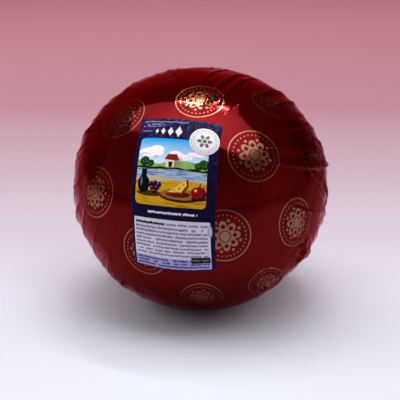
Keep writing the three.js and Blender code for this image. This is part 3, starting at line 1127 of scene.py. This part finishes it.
CAMERA_ELEVATION = 18
CAMERA_DISTANCE = 631
CAMERA_LENS = 96.3
AIM_ASIDE = -0.3
AIM_DOWN = 7.6
# Partly painted light: besides the sweep's own pink-to-red colour, these tones darken the floor behind
# the ball and out to half a metre and keep it pale in front, as the light falls off away from the
# lamps.
STAGE_TONES = [
    # how far out, in metres, and the colour there
    (-0.1, rgb(204, 209, 218)),
    (0.0, rgb(206, 207, 220)),
    (0.1, rgb(184, 178, 190)),
    (0.25, rgb(173, 156, 168)),
    (0.5, rgb(166, 122, 134)),
    (1.1, rgb(191, 135, 148)),
    (1.5, rgb(187, 129, 142)),
    (1.9, rgb(184, 96, 112)),
    (2.4, rgb(190, 38, 50)),
    (3.2, rgb(185, 10, 18)),
    (4.4, rgb(150, 4, 10)),
]
STAGE_INNER = 0.45  # to the sides and in front, the tones start this much further out
STAGE_BLEND = 0.2
STAGE_ROUGHNESS = 0.6
STAGE_HALF = 7  # how far it reaches to the sides and in front, in metres
STAGE_BEND = 1.3  # how far behind the ball it starts to curve up
STAGE_CURVE = 0.7
STAGE_TOP = 2.4
STAGE_DROP = 0.0002  # it lies this much under the ball
WORLD_ABOVE = (0.13, 0.11, 0.12, 1)
WORLD_LEVEL = (0.42, 0.27, 0.31, 1)
WORLD_FADE = 0.75  # the sine of the elevation by which the room has gone dark
SOFTBOX_SPIN = -27
SOFTBOX = {"spin": SOFTBOX_SPIN, "hot": (0.5, 0.75, 0.9, 0.4)}
CORE = {"spin": SOFTBOX_SPIN}
LINE = {"spin": SOFTBOX_SPIN, "scattered": False}
FILL = {"mirrored": False}
LAMPS = [
    # name, place, what it faces and size in metres, power in watts, and what is special
    ("overhead softbox", (0.05, 0.02, 1.2), (0.05, 0.019, 0.07), (2.2, 0.76), 27.5, SOFTBOX),
    ("hot core", (0.11, 0.42, 1.19), (0.11, 0.419, 0.07), (0.62, 0.022), 3.2, CORE),
    ("hot line", (0.11, 0.42, 1.18), (0.11, 0.419, 0.07), (0.66, 0.009), 5.5, LINE),
    ("backdrop lamp", (0, 0.9, 1.6), (0, 2, 1.2), (1.8, 0.3), 14, {}),
    ("left floor lamp", (-0.9, 0, 1.6), (-2, 0, 1.2), (1.8, 0.3), 10, {}),
    ("right floor lamp", (0.9, 0, 1.6), (2, 0, 1.2), (1.8, 0.3), 10, {}),
    ("front floor lamp", (0, -0.9, 1.6), (0, -2, 1.2), (1.8, 0.3), 10, {}),
    ("side card", (1.7, -0.3, 0.35), (0, 0, 0.1), (1.6, 0.7), 0.5, {}),
    ("left fill", (-0.9, 0.2, 0.55), (0, 0, 0), (0.8, 0.7), 5.8, FILL),
    ("right fill", (0.9, 0.2, 0.55), (0, 0, 0), (0.8, 0.7), 4.2, FILL),
]


def add_camera():
    up = direction(90, 90 - CAMERA_ELEVATION)
    back = direction(-90, CAMERA_ELEVATION)
    aim = SHIFT + np.array([AIM_ASIDE, 0, 0]) - AIM_DOWN * up
    data = bpy.data.cameras.new("camera")
    data.sensor_width = 36
    data.lens = CAMERA_LENS
    data.clip_start = 0.01
    data.clip_end = 20
    camera = bpy.data.objects.new("camera", data)
    camera.location = (aim + CAMERA_DISTANCE * back) * MM
    camera.rotation_euler = Vector(-back).to_track_quat("-Z", "Y").to_euler()
    bpy.context.scene.collection.objects.link(camera)
    bpy.context.scene.camera = camera


def warm_lamp(data, across, up, reach, rim):
    """Make a lamp brightest at one spot of its face, and fade it to a share of that at its rim."""
    data.use_nodes = True
    net = Nodes(data.node_tree)
    away = net.vector("SUBTRACT", net.add("NewGeometry").outputs["Parametric"], (across, up, 0))
    away = net.vector("MULTIPLY", away, (data.size / reach, data.size_y / reach, 0))
    strength = net.fade(net.vector("LENGTH", away), 0.0, 1.0, 1.0, rim)
    net.fill(data.node_tree.nodes["Emission"], {"Strength": strength})


def add_lamp(name, place, aim, size, power, spin=0, hot=None, mirrored=True, scattered=True):
    """A lamp that isn't mirrored shows in no gloss, and one that isn't scattered shows only there."""
    data = bpy.data.lights.new(name, "AREA")
    data.shape = "RECTANGLE"
    data.size, data.size_y = size
    data.energy = power
    if hot:
        warm_lamp(data, *hot)
    lamp = bpy.data.objects.new(name, data)
    lamp.location = place
    facing = (Vector(aim) - Vector(place)).to_track_quat("-Z", "Y")
    lamp.rotation_euler = (facing @ Quaternion((0, 0, 1), spin * RAD)).to_euler()
    lamp.visible_glossy = mirrored
    lamp.visible_diffuse = scattered
    bpy.context.scene.collection.objects.link(lamp)


def add_world():
    """Even light from all round that fades upwards."""
    world = bpy.data.worlds.new("studio")
    world.use_nodes = True
    net = Nodes(world.node_tree)
    _, _, height = net.split(net.add("TexCoord").outputs["Generated"])
    tone = net.mix(net.fade(height, 0.0, WORLD_FADE), WORLD_LEVEL, WORLD_ABOVE)
    net.fill(world.node_tree.nodes["Background"], {"Color": tone})
    bpy.context.scene.world = world


def stage_material():
    """Its tone goes by how far out a place is: back and up behind the ball, or off to any side."""
    material, shader = new_material("pale sweep")
    net = Nodes(material.node_tree)
    place = net.add("NewGeometry").outputs["Position"]
    _, y, z = net.split(place)
    around = net.vector("LENGTH", net.vector("MULTIPLY", place, (1, 1, 0)))
    further = net.minus(around, STAGE_INNER)
    distance = net.math("SMOOTH_MAX", net.math("ADD", y, z), further, STAGE_BLEND)
    nearest, farthest = STAGE_TONES[0][0], STAGE_TONES[-1][0]
    share = net.fade(distance, nearest, farthest, kind="LINEAR")
    ramp = net.add("ValToRGB", [share])
    tones = ramp.color_ramp.elements
    tones.remove(tones[1])
    for i, (reach, tone) in enumerate(STAGE_TONES):
        at = (reach - nearest) / (farthest - nearest)
        stop = tones[0] if i == 0 else tones.new(at)
        stop.position = at
        stop.color = tone
    net.fill(shader, {"Base Color": ramp.outputs["Color"], "Roughness": STAGE_ROUGHNESS})
    return material


def add_stage():
    """A pale floor that curves up into a backdrop."""
    outline = [(-STAGE_HALF, 0.0)]
    for angle in np.linspace(0, math.pi / 2, 17):
        back = STAGE_BEND + STAGE_CURVE * math.sin(angle)
        outline.append((back, STAGE_CURVE * (1 - math.cos(angle))))
    outline.append((STAGE_BEND + STAGE_CURVE, STAGE_TOP))
    points = np.array([[x, y, z - STAGE_DROP] for y, z in outline for x in (-STAGE_HALF, STAGE_HALF)])
    sweep = mesh_piece("sweep", points, grid_faces(len(outline), 2, False)[:, ::-1].tolist())
    sweep.data.materials.append(stage_material())


bpy.context.scene.view_settings.view_transform = "Standard"
add_camera()
add_world()
for *lamp, special in LAMPS:
    add_lamp(*lamp, **special)
add_stage()

film = film_piece()
film.data.materials.append(film_material())
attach(film, "root")
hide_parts("wrapped_cheese")

label = label_piece()
label.data.materials.append(label_material())
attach(label, "root")
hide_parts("label")

seal = seal_piece()
seal.data.materials.append(seal_material())
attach(seal, "root")
